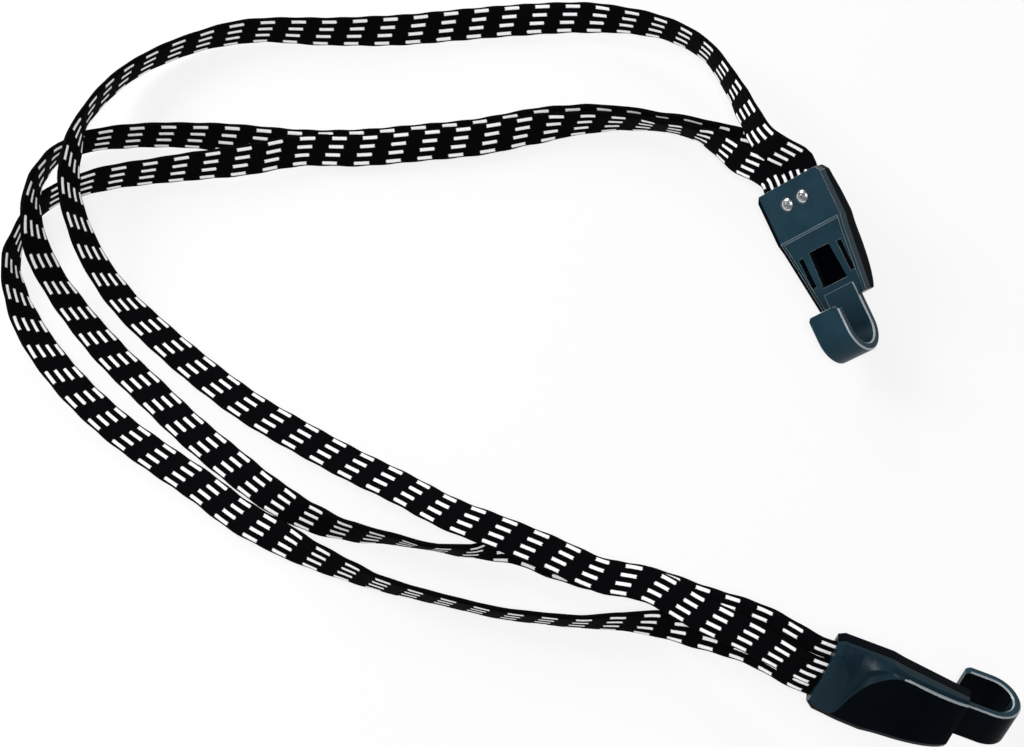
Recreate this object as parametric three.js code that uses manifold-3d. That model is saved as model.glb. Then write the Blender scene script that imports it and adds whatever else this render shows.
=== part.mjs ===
// A triple luggage strap: three flat elastic straps, screwed at both ends into a plastic fitting with a J hook.
// Millimetres, +Z up. The straps lie in a U on a table and both fittings rest on it.
import * as THREE from "three";
import { mergeVertices } from "three/addons/utils/BufferGeometryUtils.js";
import Module from "manifold-3d";

const wasm = await Module();
wasm.setup();

// Clearance between neighbouring pieces, and round the straps in the mouth of a fitting.
const GAP = 0.3;
const MOUTH_GAP = 0.45;

// Strap: a flat woven sleeve round a flat rubber core.
const STRAP_HALF = 6.25;
const STRAP_THICK = 1.1;
const SLEEVE_EDGE = 0.7;
const SLEEVE_WALL = 0.45;
const CAVITY_HALF = STRAP_HALF - SLEEVE_EDGE;
const CAVITY_THICK = STRAP_THICK - SLEEVE_WALL;
const CORE_HALF = CAVITY_HALF - GAP;
const CORE_THICK = CAVITY_THICK - GAP;
const STRAP_END = 13.8;
const STRAIGHT_OUT = 2;
const CORE_TRIM = 0.4;
const STRAP_STEPS = 60;

// Where a strap lies in the mouth of a fitting: beside its twin under the plate, or alone in the cover.
const SIDE_Y = STRAP_HALF + GAP / 2;
const SIDE_Z = 0.3;
const MIDDLE_Z = SIDE_Z - 2 * STRAP_THICK - GAP;
const MOUTH_HALF = SIDE_Y + STRAP_HALF + MOUTH_GAP;
const MOUTH_TOP = SIDE_Z + STRAP_THICK + MOUTH_GAP;
const MOUTH_DEPTH = STRAP_END + GAP;

// Hook plate, in the frame of a fitting: x from the strap mouth to the hook, y across, z to the screw side.
const MOUTH_WALL = 1.7;
const PLATE_HALF = MOUTH_HALF + MOUTH_WALL;
const PLATE_TOP = 4;
const MOUTH_CORNER = 2.2;
const FOLD_X = 19.7;
const FOLD_RUN = 0.9;
const TAPER_X = 24;
const PLATE_END = 49;
const END_HALF = 10.8;
const RIM_WIDTH = 1.3;
const RIM_SLOPE = 0.5;
// Stations of the plate: x, half width, height of the rim, height of the floor between the rims.
const PLATE_STATIONS = [
  [0, PLATE_HALF - 1.4, PLATE_TOP, PLATE_TOP],
  [MOUTH_CORNER, PLATE_HALF, PLATE_TOP, PLATE_TOP],
  [FOLD_X, PLATE_HALF, PLATE_TOP, PLATE_TOP],
  [FOLD_X + FOLD_RUN, PLATE_HALF - 0.2, PLATE_TOP, 3.3],
  [TAPER_X, PLATE_HALF - 0.9, PLATE_TOP, 3.2],
  [PLATE_END, END_HALF, 3.6, 2.6],
];
const WINDOW = [
  [27.3, -4.6],
  [41.4, -5.6],
  [41.4, 5.6],
  [27.3, 4.6],
];
const SLOT_Y = END_HALF - 1.8;
const SLOT_WIDTH = 2;
const SLOT_LENGTH = 12;
const SLOT_X = 34;

// The J hook is a strip of the plate that bends round to the screw side.
const STRIP_X = 44;
const STRIP_HALF = 7;
const STRIP_THICK = 3;
const STRIP_BEVEL = 0.5;
const BEND_INSIDE = 7.5;
const BEND_OUTSIDE = BEND_INSIDE + STRIP_THICK;
const BEND_X = 59.5;
const BEND_STEPS = 12;
const TIP_X = 50.2;
const TIP_CORNER = 1.6;

// Cover stations: x, y of the valley and of the ridge on its back, then how deep four lines on it lie:
// the left edge, the valley, the ridge and the right edge.
// The ridge runs from the left of the mouth to the right edge, turns back in an S and follows the left edge.
const COVER_STATIONS = [
  [0, -11.5, -9.5, 2.6, 5.0, 5.2, 5.0],
  [MOUTH_CORNER, -9.5, -6.5, 2.8, 5.9, 6.1, 5.8],
  [5.5, -1.5, 2.3, 2.9, 6.3, 6.6, 6.3],
  [9, 6.5, 10.4, 2.9, 6.5, 6.9, 6.9],
  [11, -0.2, 2.6, 2.9, 6.0, 7.2, 7.2],
  [13.5, -7, -4.4, 3.0, 5.5, 7.3, 7.4],
  [18, -11.2, -9.8, 3.4, 5.2, 7.1, 7.6],
  [22, -12.9, -12.3, 4.2, 6.0, 6.7, 7.8],
  [26, -13, -12.6, 4.9, 6.0, 6.4, 8.0],
  [33, -12, -11.6, 4.9, 5.9, 6.3, 8.3],
  [41, -11, -10.6, 4.4, 5.4, 5.8, 7.8],
  [47, -10.3, -9.9, 3.6, 4.4, 4.8, 6.2],
  [PLATE_END, -10, -9.6, 3.0, 3.7, 4.1, 5.0],
];
const COVER_SPLITS = 3;
// A shoulder between the left edge and the valley: its share of the way across and of the way down.
const SHOULDER_ACROSS = 0.45;
const SHOULDER_DOWN = 0.85;
// Round of the cover's right edge: how far in and how deep it starts, then the corner between.
const ROUND_IN = 3;
const ROUND_DOWN = 2.8;
const CORNER_IN = 0.8;
const CORNER_DOWN = 1.2;
const LEFT_CORNER = 1;
const HOLLOW_LENGTH = 19;
const HOLLOW_WIDTH = 16;
const HOLLOW_DEPTH = 4.8;
const PEG_SHORTER = 4;
const PEG_TOP = 1.8;
const PEG_ROOT = 2;

// Screws.
const SCREW_X = 7.6;
const SCREW_INSET = 2.8;
const SCREW_Y = SIDE_Y - SCREW_INSET;
const HEAD_RADIUS = 2.5;
const HEAD_SEAT = 3;
const HEAD_HEIGHT = 1.8;
const SHANK_RADIUS = 1.1;
const SHANK_HOLE = SHANK_RADIUS + GAP;
const SCREW_TIP = -5;
const HOLE_REACH = 9;
const RECESS_LENGTH = 3;
const RECESS_WIDTH = 0.7;
const RECESS_FLOOR = HEAD_SEAT + 1;

// Anything that reaches past a face it cuts goes this much beyond it.
const BEYOND = 1;

// Place of each fitting on the table: turn about z, y and x in degrees, then the middle of its mouth.
const END_A = { turn: [-64.6, 15, 47.8], at: [-29.236, 103.508, 23.642] };
const END_B = { turn: [-18.3, 10.1, 235.3], at: [-28.436, -83.072, 27.857] };

// Strap routes from fitting b to fitting a: x, y, z of the middle and how far the inner edge is raised, in degrees.
const ROUTE_A = [
  [-51.5, -72.2, 27.0, 44],
  [-68.5, -62.2, 22.5, 30],
  [-85.9, -51.0, 18.5, 18],
  [-102.4, -46.5, 15.5, 12],
  [-119.8, -38.2, 14.6, 8],
  [-137.4, -30.9, 14.8, 5],
  [-155.1, -23.2, 12.8, 3],
  [-173.3, -11.8, 8.0, 0],
  [-191.7, -1.6, 5.0, 0],
  [-210.3, 9.2, 3.8, -1],
  [-229.1, 20.8, 3.2, -4],
  [-248.2, 35.3, 3.4, -9],
  [-267.4, 51.9, 5.0, -18],
  [-278.2, 62.4, 7.0, -28],
  [-288.9, 76.7, 11.5, -42],
  [-295.1, 89.7, 17.0, -54],
  [-298.3, 101.8, 21.0, -61],
  [-298.1, 116.8, 22.0, -72],
  [-294.6, 133.3, 19.5, -94],
  [-280.9, 157.8, 10.0, -93],
  [-259.1, 171.9, 6.8, -88],
  [-235.9, 178.0, 6.5, -76],
  [-204.6, 178.0, 6.0, -62],
  [-177.1, 179.0, 5.5, -48],
  [-153.6, 181.5, 5.2, -38],
  [-130.0, 183.6, 5.4, -32],
  [-106.4, 183.4, 7.6, -48],
  [-87.1, 179.5, 11.5, -72],
  [-71.8, 173.6, 14.5, -82],
  [-58.6, 162.3, 18.5, -86],
  [-50.3, 146.0, 22.5, -80],
  [-44.8, 128.8, 28.8, -68],
  [-38.9, 115.8, 31.0, -54],
];
const ROUTE_B = [
  [-48.6, -66.7, 28.2, 44],
  [-66.0, -58.7, 20.9, 30],
  [-84.7, -50.0, 14.8, 20],
  [-102.1, -44.6, 9.2, 22],
  [-117.7, -38.9, 6.2, 26],
  [-133.1, -33.1, 5.4, 36],
  [-148.1, -35.0, 6.7, 90],
  [-162.3, -33.3, 6.6, 102],
  [-176.4, -30.3, 6.6, 92],
  [-190.9, -27.5, 6.4, 76],
  [-205.4, -22.0, 5.6, 52],
  [-220.3, -12.8, 4.2, 28],
  [-235.5, -0.5, 2.8, 10],
  [-250.8, 12.6, 2.0, 0],
  [-266.4, 27.5, 2.2, -5],
  [-282.0, 42.6, 3.2, -15],
  [-296.0, 58.7, 6.0, -28],
  [-305.5, 71.8, 11.0, -42],
  [-309.9, 81.1, 18.6, -54],
  [-311.3, 91.3, 22.2, -67],
  [-311.5, 101.4, 21.0, -82],
  [-309.5, 112.1, 16.5, -92],
  [-305.3, 122.3, 10.4, -96],
  [-296.9, 128.7, 6.8, -82],
  [-279.9, 131.5, 6.4, -74],
  [-260.7, 132.0, 6.3, -70],
  [-237.7, 130.7, 5.6, -56],
  [-214.6, 128.4, 4.9, -42],
  [-191.6, 128.6, 4.5, -36],
  [-168.6, 130.8, 4.5, -36],
  [-145.5, 133.3, 4.7, -38],
  [-126.2, 137.2, 5.5, -50],
  [-106.9, 140.2, 6.5, -76],
  [-89.6, 140.1, 7.5, -92],
  [-74.4, 137.0, 10.0, -104],
  [-62.6, 132.4, 13.5, -98],
  [-51.2, 127.8, 12.6, -74],
  [-35.0, 116.2, 20.9, -47],
];
const ROUTE_C = [
  [-50.1, -73.8, 18.1, 44],
  [-68.0, -65.7, 11.6, 30],
  [-81.4, -62.4, 9.0, 60],
  [-95.3, -61.1, 7.6, 80],
  [-109.3, -60.9, 6.8, 90],
  [-123.3, -59.5, 6.5, 92],
  [-137.4, -57.7, 6.4, 92],
  [-151.4, -54.4, 6.4, 92],
  [-165.6, -50.8, 6.4, 90],
  [-179.8, -46.7, 6.4, 84],
  [-190.5, -42.3, 6.2, 72],
  [-203.1, -36.6, 5.7, 57],
  [-216.0, -29.4, 4.2, 32],
  [-230.9, -20.7, 2.8, 14],
  [-246.0, -9.0, 1.9, 4],
  [-261.2, 1.5, 1.7, 0],
  [-276.5, 12.7, 1.8, -2],
  [-292.0, 26.6, 2.4, -9],
  [-303.9, 40.1, 3.3, -20],
  [-312.6, 52.9, 4.4, -33],
  [-318.0, 65.0, 5.6, -53],
  [-321.0, 78.2, 6.4, -72],
  [-319.1, 88.7, 6.5, -86],
  [-314.8, 98.4, 6.4, -88],
  [-308.9, 104.8, 6.4, -86],
  [-299.4, 109.6, 6.5, -80],
  [-286.4, 113.7, 6.4, -74],
  [-271.3, 116.2, 6.4, -70],
  [-254.2, 118.4, 6.8, -60],
  [-235.1, 120.6, 7.4, -49],
  [-214.7, 125.2, 6.4, -42],
  [-191.4, 125.4, 6.2, -36],
  [-168.2, 127.6, 6.2, -36],
  [-145.0, 130.2, 6.3, -38],
  [-125.7, 134.1, 6.8, -50],
  [-106.7, 136.9, 6.9, -76],
  [-89.9, 137.2, 7.4, -92],
  [-75.0, 134.3, 9.3, -104],
  [-63.6, 129.6, 12.8, -98],
  [-56.3, 125.4, 13.9, -78],
  [-47.8, 115.8, 17.9, -62],
];

const radians = THREE.MathUtils.degToRad;
const mix = THREE.MathUtils.lerp;

// A three.js geometry as a solid that can be joined and cut.
function solidOf(geometry) {
  const bare = new THREE.BufferGeometry();
  const plain = geometry.index ? geometry.toNonIndexed() : geometry;
  bare.setAttribute("position", plain.getAttribute("position").clone());
  const { attributes, index } = mergeVertices(bare, 1e-4);
  const triangles = [];
  for (let i = 0; i < index.count; i += 3) {
    const [a, b, c] = [index.getX(i), index.getX(i + 1), index.getX(i + 2)];
    if (a !== b && b !== c && c !== a) triangles.push([a, b, c]);
  }
  const build = (list) =>
    new wasm.Manifold(
      new wasm.Mesh({
        numProp: 3,
        vertProperties: attributes.position.array,
        triVerts: new Uint32Array(list.flat()),
      }),
    );
  const made = build(triangles);
  return made.volume() > 0 ? made : build(triangles.map(([a, b, c]) => [a, c, b]));
}

// The geometry of a finished solid.
function geometryOf(solid) {
  const { vertProperties, triVerts, numProp } = solid.getMesh();
  const buffer = new THREE.InterleavedBuffer(vertProperties, numProp);
  const geometry = new THREE.BufferGeometry();
  geometry.setAttribute("position", new THREE.InterleavedBufferAttribute(buffer, 3, 0));
  geometry.setIndex(new THREE.BufferAttribute(triVerts, 1));
  return geometry.toNonIndexed();
}

// Rings with the same number of points, joined into one closed surface with a flat cap at each end.
function loft(rings, outline) {
  const count = rings[0].length;
  const index = [];
  for (let i = 0; i + 1 < rings.length; i++) {
    for (let k = 0; k < count; k++) {
      const next = (k + 1) % count;
      const [a, b, c, d] = [i * count + k, i * count + next, (i + 1) * count + next, (i + 1) * count + k];
      if (k < count / 2) index.push(a, b, c, a, c, d);
      else index.push(a, b, d, b, c, d);
    }
  }
  const flat = outline.map(([u, v]) => new THREE.Vector2(u, v));
  const reversed = THREE.ShapeUtils.area(flat) > 0;
  const last = (rings.length - 1) * count;
  for (const [a, b, c] of THREE.ShapeUtils.triangulateShape(flat, [])) {
    index.push(...(reversed ? [a, c, b] : [a, b, c]));
    index.push(...(reversed ? [a, b, c] : [a, c, b]).map((corner) => corner + last));
  }
  const geometry = new THREE.BufferGeometry();
  geometry.setAttribute("position", new THREE.Float32BufferAttribute(rings.flat(2), 3));
  return solidOf(geometry.setIndex(index));
}

// A solid along x from stations, each given as x and an outline of y and z.
function alongX(stations) {
  return loft(
    stations.map(([x, outline]) => outline.map(([y, z]) => [x, y, z])),
    stations[0][1],
  );
}

// An upright prism over an outline of x and y.
function prism(outline, low, high) {
  const shape = new THREE.Shape(outline.map(([x, y]) => new THREE.Vector2(x, y)));
  const settings = { depth: high - low, bevelEnabled: false };
  return solidOf(new THREE.ExtrudeGeometry(shape, settings).translate(0, 0, low));
}

// A box of a length and width about a middle, between two heights.
function block([x, y], length, width, low, high) {
  return solidOf(new THREE.BoxGeometry(length, width, high - low).translate(x, y, (low + high) / 2));
}

// An upright round bar, used for drilled holes.
function bar([x, y], radius, low, high) {
  const round = new THREE.CylinderGeometry(radius, radius, high - low, 20).rotateX(Math.PI / 2);
  return solidOf(round.translate(x, y, (low + high) / 2));
}

// The slot in which the strap ends lie, open at the mouth.
function mouthSlot(half, low, high) {
  return block([(MOUTH_DEPTH - BEYOND) / 2, 0], MOUTH_DEPTH + BEYOND, 2 * half, low, high);
}

// Half width of a fitting at x, from the stations of its plate.
function halfAt(x) {
  const next = Math.max(1, PLATE_STATIONS.findIndex((station) => station[0] >= x));
  const [[x0, half0], [x1, half1]] = PLATE_STATIONS.slice(next - 1, next + 1);
  return THREE.MathUtils.mapLinear(x, x0, x1, half0, half1);
}

// The J seen from the side, drawn across the width of the strip.
function hookStrip() {
  const side = new THREE.Shape();
  side.moveTo(STRIP_X, 0);
  side.lineTo(BEND_X, 0);
  side.absarc(BEND_X, BEND_OUTSIDE, BEND_OUTSIDE, -Math.PI / 2, Math.PI / 2, false);
  side.lineTo(TIP_X, 2 * BEND_OUTSIDE);
  side.lineTo(TIP_X, 2 * BEND_OUTSIDE - STRIP_THICK);
  side.lineTo(BEND_X, 2 * BEND_OUTSIDE - STRIP_THICK);
  side.absarc(BEND_X, BEND_OUTSIDE, BEND_INSIDE, Math.PI / 2, -Math.PI / 2, true);
  side.lineTo(STRIP_X, STRIP_THICK);
  const depth = 2 * (STRIP_HALF - STRIP_BEVEL);
  const settings = {
    depth,
    curveSegments: BEND_STEPS,
    bevelSegments: 1,
    bevelSize: STRIP_BEVEL,
    bevelThickness: STRIP_BEVEL,
    bevelOffset: -STRIP_BEVEL,
  };
  const strip = new THREE.ExtrudeGeometry(side, settings).rotateX(Math.PI / 2).translate(0, depth / 2, 0);
  let hook = solidOf(strip);
  for (const hand of [-1, 1]) {
    const corner = [
      [TIP_X - BEYOND, hand * (STRIP_HALF - TIP_CORNER - BEYOND)],
      [TIP_X + TIP_CORNER + BEYOND, hand * (STRIP_HALF + BEYOND)],
      [TIP_X - BEYOND, hand * (STRIP_HALF + BEYOND)],
    ];
    hook = hook.subtract(prism(corner, BEND_OUTSIDE, 2 * BEND_OUTSIDE + BEYOND));
  }
  return hook;
}

function hookPlate() {
  const body = alongX(
    PLATE_STATIONS.map(([x, half, rim, floor]) => [
      x,
      [
        [-half, 0],
        [half, 0],
        [half, rim],
        [half - RIM_WIDTH, rim],
        [half - RIM_WIDTH - RIM_SLOPE, floor],
        [RIM_WIDTH + RIM_SLOPE - half, floor],
        [RIM_WIDTH - half, rim],
        [-half, rim],
      ],
    ]),
  );
  const above = PLATE_TOP + BEYOND;
  let plate = body.add(hookStrip()).subtract(prism(WINDOW, -BEYOND, above));
  for (const side of [-1, 1]) {
    const at = [SCREW_X, side * SCREW_Y];
    plate = plate
      .subtract(block([SLOT_X, side * SLOT_Y], SLOT_LENGTH, SLOT_WIDTH, -BEYOND, above))
      .subtract(bar(at, SHANK_HOLE, -BEYOND, above))
      .subtract(bar(at, HEAD_RADIUS + GAP, HEAD_SEAT, above));
  }
  return plate.subtract(mouthSlot(MOUTH_HALF, -BEYOND, MOUTH_TOP));
}

// The cover stations with smooth ones between them.
function smoothStations() {
  const places = COVER_STATIONS.map((station) => station[0]);
  const size = COVER_STATIONS[0].length;
  const spline = new THREE.CubicInterpolant(places, COVER_STATIONS.flat(), size, new Float32Array(size));
  const steps = places.slice(1).flatMap((x, i) =>
    Array.from({ length: COVER_SPLITS }, (_, k) => places[i] + ((x - places[i]) * k) / COVER_SPLITS),
  );
  return [...steps, PLATE_END].map((x) => [...spline.evaluate(x)]);
}

function gripCover() {
  const body = alongX(
    smoothStations().map(([x, valleyY, ridgeY, left, valley, ridge, right]) => [
      x,
      [
        [-halfAt(x), -GAP],
        [-halfAt(x), LEFT_CORNER - left],
        [LEFT_CORNER - halfAt(x), -left],
        [mix(LEFT_CORNER - halfAt(x), valleyY, SHOULDER_ACROSS), -mix(left, valley, SHOULDER_DOWN)],
        [valleyY, -valley],
        [ridgeY, -ridge],
        [halfAt(x) - ROUND_IN, -right],
        [halfAt(x) - CORNER_IN, CORNER_DOWN - right],
        [halfAt(x), ROUND_DOWN - right],
        [halfAt(x), -GAP],
      ],
    ]),
  );
  let cover = body
    .subtract(mouthSlot(MOUTH_HALF, SIDE_Z - STRAP_THICK - MOUTH_GAP, BEYOND))
    .subtract(mouthSlot(STRAP_HALF + MOUTH_GAP, MIDDLE_Z - STRAP_THICK - MOUTH_GAP, BEYOND))
    .subtract(block([SLOT_X - 0.5, 0], HOLLOW_LENGTH, HOLLOW_WIDTH, -HOLLOW_DEPTH, BEYOND));
  for (const side of [-1, 1]) {
    const peg = [SLOT_X, side * SLOT_Y];
    cover = cover
      .add(block(peg, SLOT_LENGTH - PEG_SHORTER, SLOT_WIDTH - 2 * GAP, -PEG_ROOT, PEG_TOP))
      .subtract(bar([SCREW_X, side * SCREW_Y], SHANK_HOLE, SCREW_TIP - GAP, BEYOND));
  }
  return cover;
}

// A pan head screw with a cross recess, standing on its own axis.
function screw() {
  const profile = [
    [0, SCREW_TIP],
    [0.5, SCREW_TIP],
    [SHANK_RADIUS, SCREW_TIP + 1],
    [SHANK_RADIUS, HEAD_SEAT + GAP],
    [HEAD_RADIUS, HEAD_SEAT + GAP],
    [HEAD_RADIUS, HEAD_SEAT + HEAD_HEIGHT - 0.7],
    [HEAD_RADIUS - 0.6, HEAD_SEAT + HEAD_HEIGHT - 0.2],
    [HEAD_RADIUS - 1.4, HEAD_SEAT + HEAD_HEIGHT],
    [0, HEAD_SEAT + HEAD_HEIGHT],
  ].map(([radius, z]) => new THREE.Vector2(radius, z));
  const recessTop = HEAD_SEAT + HEAD_HEIGHT + BEYOND;
  return solidOf(new THREE.LatheGeometry(profile, 20).rotateX(Math.PI / 2))
    .subtract(block([0, 0], RECESS_LENGTH, RECESS_WIDTH, RECESS_FLOOR, recessTop))
    .subtract(block([0, 0], RECESS_WIDTH, RECESS_LENGTH, RECESS_FLOOR, recessTop));
}

// One named piece with a material of its own.
function piece(name, geometry, look) {
  const mesh = new THREE.Mesh(geometry, new THREE.MeshStandardMaterial(look));
  mesh.name = name;
  return mesh;
}

const PLASTIC = { color: "#2b3a42", roughness: 0.5 };
const DARK_PLASTIC = { color: "#1f2b31", roughness: 0.45 };
const ZINC = { color: "#c9ccd0", roughness: 0.3, metalness: 0.9 };
const WOVEN = { color: "#101113", roughness: 0.9 };
const RUBBER = { color: "#b9a582", roughness: 0.8 };

// A fitting: plate, cover and two screws in one group that is turned and set down on the table.
function fitting(name, { turn, at }) {
  const [yaw, pitch, roll] = turn.map(radians);
  const end = new THREE.Group();
  end.name = name;
  end.rotation.set(roll, pitch, yaw, "ZYX");
  end.position.set(...at);
  end.updateMatrix();
  end.add(piece(`${name}_hook`, geometryOf(hookPlate()), PLASTIC));
  end.add(piece(`${name}_cover`, geometryOf(gripCover()), DARK_PLASTIC));
  for (const [index, side] of [-1, 1].entries()) {
    const fastener = piece(`${name}_screw_${index + 1}`, geometryOf(screw()), ZINC);
    fastener.position.set(SCREW_X, side * SCREW_Y, 0);
    end.add(fastener);
  }
  return end;
}

// The screw holes of a fitting, in the frame of the table, as cut through the strap ends.
function screwHoles(end) {
  return [-1, 1].map((side) => {
    const hole = geometryOf(bar([SCREW_X, side * SCREW_Y], SHANK_HOLE, -HOLE_REACH, HOLE_REACH));
    return solidOf(hole.applyMatrix4(end.matrix));
  });
}

// The middle line of a strap and its across direction; both ends run straight through a mouth.
function strapPath(route, [endB, seatB], [endA, seatA]) {
  const mouth = (end, [y, z], x) => new THREE.Vector3(x, y, z).applyMatrix4(end.matrix);
  const inside = [STRAP_END, 9, 4.5, 0, -5];
  const points = [
    ...inside.map((x) => mouth(endB, seatB, x)),
    ...route.map(([x, y, z]) => new THREE.Vector3(x, y, z)),
    ...inside.map((x) => mouth(endA, seatA, x)).reverse(),
  ];
  const curve = new THREE.CatmullRomCurve3(points, false, "centripetal");
  curve.arcLengthDivisions = 2000;
  const last = points.length - 1;
  const across = points.map((_, i) => {
    const end = i < inside.length ? endB : endA;
    const step = route[i - inside.length];
    if (!step) return new THREE.Vector3(0, -1, 0).transformDirection(end.matrix);
    const along = curve.getTangent(i / last);
    const tilt = radians(step[3]);
    const inward = new THREE.Vector3(along.y, -along.x, 0).setLength(Math.cos(tilt));
    return inward.add(new THREE.Vector3(0, 0, Math.sin(tilt)));
  });
  return { curve, across, last };
}

// Across direction at a curve parameter, from the two nearest points.
function acrossAt({ curve, across, last }, t) {
  const place = Math.min(t * last, last - 1e-6);
  const index = Math.floor(place);
  const share = THREE.MathUtils.smoothstep(place - index, 0, 1);
  const along = curve.getTangent(t);
  const side = across[index].clone().lerp(across[index + 1], share);
  return side.addScaledVector(along, -side.dot(along)).normalize();
}

// A flat outline swept along a strap, trimmed (or drawn out) by the same length at both ends.
function strapSolid(path, outline, trim) {
  const total = path.curve.getLength();
  const inside = STRAP_END + STRAIGHT_OUT;
  const free = total - 2 * inside;
  const stops = [trim];
  for (let i = 0; i <= STRAP_STEPS; i++) stops.push(inside + (free * i) / STRAP_STEPS);
  stops.push(total - trim);
  const rings = stops.map((stop) => {
    const on = THREE.MathUtils.clamp(stop, 0, total);
    const t = path.curve.getUtoTmapping(on / total);
    const along = path.curve.getTangent(t);
    const middle = path.curve.getPoint(t).addScaledVector(along, stop - on);
    const side = acrossAt(path, t);
    const face = side.clone().cross(along);
    return outline.map(([v, n]) => middle.clone().addScaledVector(side, v).addScaledVector(face, n).toArray());
  });
  return loft(rings, outline);
}

const rectangle = (half, thick) => [
  [-half, -thick],
  [half, -thick],
  [half, thick],
  [-half, thick],
];
const sleeveOutline = [
  [-STRAP_HALF, SLEEVE_WALL - STRAP_THICK],
  [SLEEVE_EDGE - STRAP_HALF, -STRAP_THICK],
  [STRAP_HALF - SLEEVE_EDGE, -STRAP_THICK],
  [STRAP_HALF, SLEEVE_WALL - STRAP_THICK],
  [STRAP_HALF, STRAP_THICK - SLEEVE_WALL],
  [STRAP_HALF - SLEEVE_EDGE, STRAP_THICK],
  [SLEEVE_EDGE - STRAP_HALF, STRAP_THICK],
  [-STRAP_HALF, STRAP_THICK - SLEEVE_WALL],
];

const group = new THREE.Group();
const endA = fitting("end_a", END_A);
const endB = fitting("end_b", END_B);
group.add(endA, endB);

const holes = [...screwHoles(endA), ...screwHoles(endB)];
const middleSeat = [0, MIDDLE_Z];
const leftSeat = [-SIDE_Y, SIDE_Z];
const rightSeat = [SIDE_Y, SIDE_Z];
const straps = [
  ["inner_strap", ROUTE_A, middleSeat, rightSeat],
  ["middle_strap", ROUTE_B, leftSeat, middleSeat],
  ["outer_strap", ROUTE_C, rightSeat, leftSeat],
];
for (const [name, route, seatB, seatA] of straps) {
  const path = strapPath(route, [endB, seatB], [endA, seatA]);
  const cavity = strapSolid(path, rectangle(CAVITY_HALF, CAVITY_THICK), -BEYOND);
  let sleeve = strapSolid(path, sleeveOutline, 0).subtract(cavity);
  let core = strapSolid(path, rectangle(CORE_HALF, CORE_THICK), CORE_TRIM);
  for (const hole of holes) {
    sleeve = sleeve.subtract(hole);
    core = core.subtract(hole);
  }
  group.add(piece(`${name}_sleeve`, geometryOf(sleeve), WOVEN));
  group.add(piece(`${name}_core`, geometryOf(core), RUBBER));
}

export default group;
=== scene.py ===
"""Looks of a luggage strap: flat woven elastic straps screwed into moulded hook fittings."""

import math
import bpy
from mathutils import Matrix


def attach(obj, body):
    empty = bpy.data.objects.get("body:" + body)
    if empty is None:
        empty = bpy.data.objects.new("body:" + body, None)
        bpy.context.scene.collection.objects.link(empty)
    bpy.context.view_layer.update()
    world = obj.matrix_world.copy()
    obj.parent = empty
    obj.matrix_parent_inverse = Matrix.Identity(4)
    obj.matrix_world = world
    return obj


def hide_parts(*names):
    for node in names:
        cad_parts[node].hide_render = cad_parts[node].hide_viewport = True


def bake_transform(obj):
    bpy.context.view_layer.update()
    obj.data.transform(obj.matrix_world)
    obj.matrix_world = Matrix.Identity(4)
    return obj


bl_info = {
    "name": "Luggage Strap Looks",
    "version": (1, 0, 0),
    "blender": (4, 5, 0),
    "location": "View3D > Sidebar > Strap",
    "description": "Dresses the packed luggage strap with woven straps, moulded fittings and zinc screws",
    "category": "Object",
}

import bmesh
import bpy
from bpy.props import FloatProperty, FloatVectorProperty, PointerProperty
from mathutils import Matrix, Vector

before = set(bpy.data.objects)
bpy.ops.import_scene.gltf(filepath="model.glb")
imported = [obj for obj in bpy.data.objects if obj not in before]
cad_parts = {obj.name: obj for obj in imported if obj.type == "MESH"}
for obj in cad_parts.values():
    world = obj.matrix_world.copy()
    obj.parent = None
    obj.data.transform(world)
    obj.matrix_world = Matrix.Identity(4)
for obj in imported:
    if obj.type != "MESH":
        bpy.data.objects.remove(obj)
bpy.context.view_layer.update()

# The end that stays with the straps, and the end that is pulled when they stretch.
HELD = "held_end_and_straps"
PULLED = "pulled_end"

# Place of each fitting: turn about z, y and x in degrees, then the middle of its mouth in metres.
END_A = ((-64.6, 15.0, 47.8), (-0.029236, 0.103508, 0.023642))
END_B = ((-18.3, 10.1, 235.3), (-0.028436, -0.083072, 0.027857))

# Where a strap lies in the mouth of a fitting: across the fitting and towards its screws.
MIDDLE_SEAT = (0.0, -0.0022)
LEFT_SEAT = (-0.0064, 0.0003)
RIGHT_SEAT = (0.0064, 0.0003)
# How far inside the mouth a strap's straight end is fixed.
IN_MOUTH = (0.0138, 0.0090, 0.0045, 0.0, -0.0050)

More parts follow.
